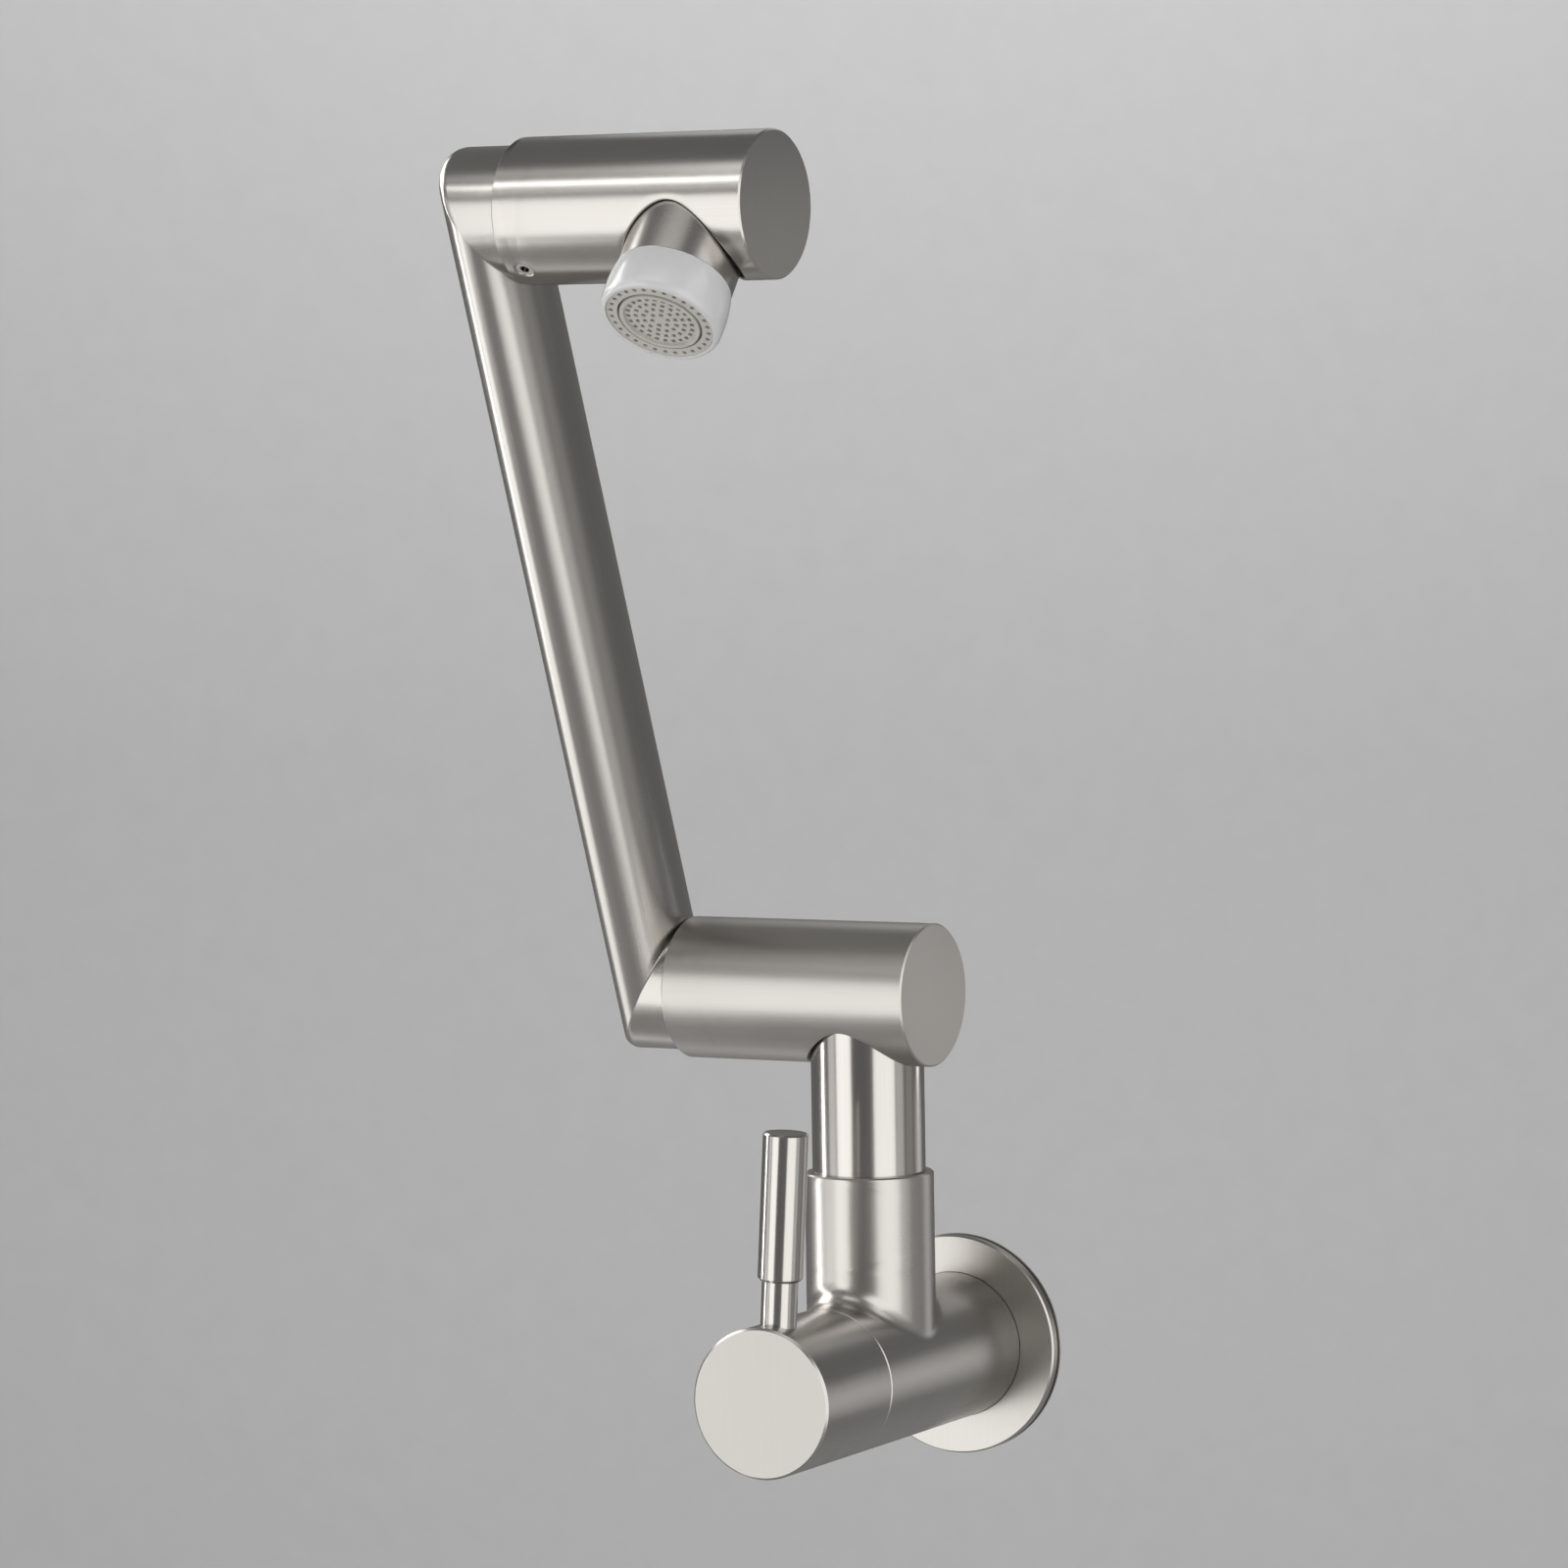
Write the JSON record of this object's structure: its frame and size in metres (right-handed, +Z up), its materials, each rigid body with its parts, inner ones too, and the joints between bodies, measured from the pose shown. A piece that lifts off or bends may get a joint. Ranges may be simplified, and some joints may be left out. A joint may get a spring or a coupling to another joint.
{
  "type": "wall-mounted kitchen faucet",
  "caption": "Wall-mounted kitchen tap with a quarter-turn lever valve, a swivelling riser, a folding oval arm and a turning barrel head with an angled aerator nozzle.",
  "frame": {"origin": "where the axis of the inlet nipple meets the wall plane", "axes": "+Y into the wall along the inlet nipple, +Z up along the riser, +X to the right seen from the room"},
  "size_m": [0.0863, 0.1554, 0.3007],
  "materials": {
    "satin_steel": "satin brushed",
    "screw_steel": "plain turned",
    "turned_brass": "turned",
    "black_rubber": "matte",
    "bearing_plastic": "matte",
    "disc_ceramic": "lapped",
    "white_plastic": "gloss",
    "face_plastic": "satin"
  },
  "bodies": {
    "valve": {"wall_flange": "satin_steel", "flange_gasket": "black_rubber", "valve_body": "satin_steel", "inlet_nipple": "turned_brass", "inlet_washer": "black_rubber", "inlet_strainer": "screw_steel", "cartridge_body": "turned_brass", "cartridge_seal": "black_rubber", "cartridge_o_ring": "black_rubber", "fixed_disc": "disc_ceramic", "riser_lock_screw": "screw_steel"},
    "handle": {"handle_cap": "satin_steel", "lever": "satin_steel", "handle_grub_screw": "screw_steel", "spindle": "turned_brass", "spindle_o_ring": "black_rubber", "spindle_circlip": "screw_steel", "moving_disc": "disc_ceramic"},
    "riser": {"riser_tube": "satin_steel", "riser_o_rings": "black_rubber", "riser_wear_ring": "bearing_plastic", "lower_barrel": "satin_steel", "lower_end_disc": "satin_steel", "lower_core": "turned_brass", "lower_pivot_screw": "screw_steel"},
    "arm": {"arm_tube": "satin_steel", "lower_spigot": "turned_brass", "upper_spigot": "turned_brass", "lower_spigot_o_rings": "black_rubber", "upper_spigot_o_rings": "black_rubber", "lower_wear_ring": "bearing_plastic", "upper_wear_ring": "bearing_plastic", "lower_thrust_washer": "bearing_plastic", "upper_thrust_washer": "bearing_plastic"},
    "head": {"upper_barrel": "satin_steel", "upper_end_disc": "satin_steel", "upper_core": "turned_brass", "upper_pivot_screw": "screw_steel", "nozzle_tube": "satin_steel", "nozzle_gasket": "black_rubber", "flow_regulator": "bearing_plastic", "aerator_screens": "screw_steel", "aerator_housing": "white_plastic", "aerator_face_ring": "face_plastic", "aerator_outlet_plate": "face_plastic"}
  },
  "joints": [
    {"name": "handle_turn", "type": "hinge", "parent": "valve", "child": "handle", "pos_m": [0, -0.0673, 0], "axis": [0, -1, 0], "range_deg": [0, 90]},
    {"name": "riser_swivel", "type": "hinge", "parent": "valve", "child": "riser", "pos_m": [0, -0.045, 0.0449], "axis": [0, 0, 1], "range_deg": [-30, 90]},
    {"name": "arm_fold", "type": "hinge", "parent": "riser", "child": "arm", "pos_m": [-0.0439, -0.045, 0.085], "axis": [1, 0, 0], "range_deg": [-21.1, 68.9]},
    {"name": "head_turn", "type": "hinge", "parent": "arm", "child": "head", "pos_m": [-0.0439, -0.11232, 0.25946], "axis": [1, 0, 0], "range_deg": [-75, 75]}
  ]
}
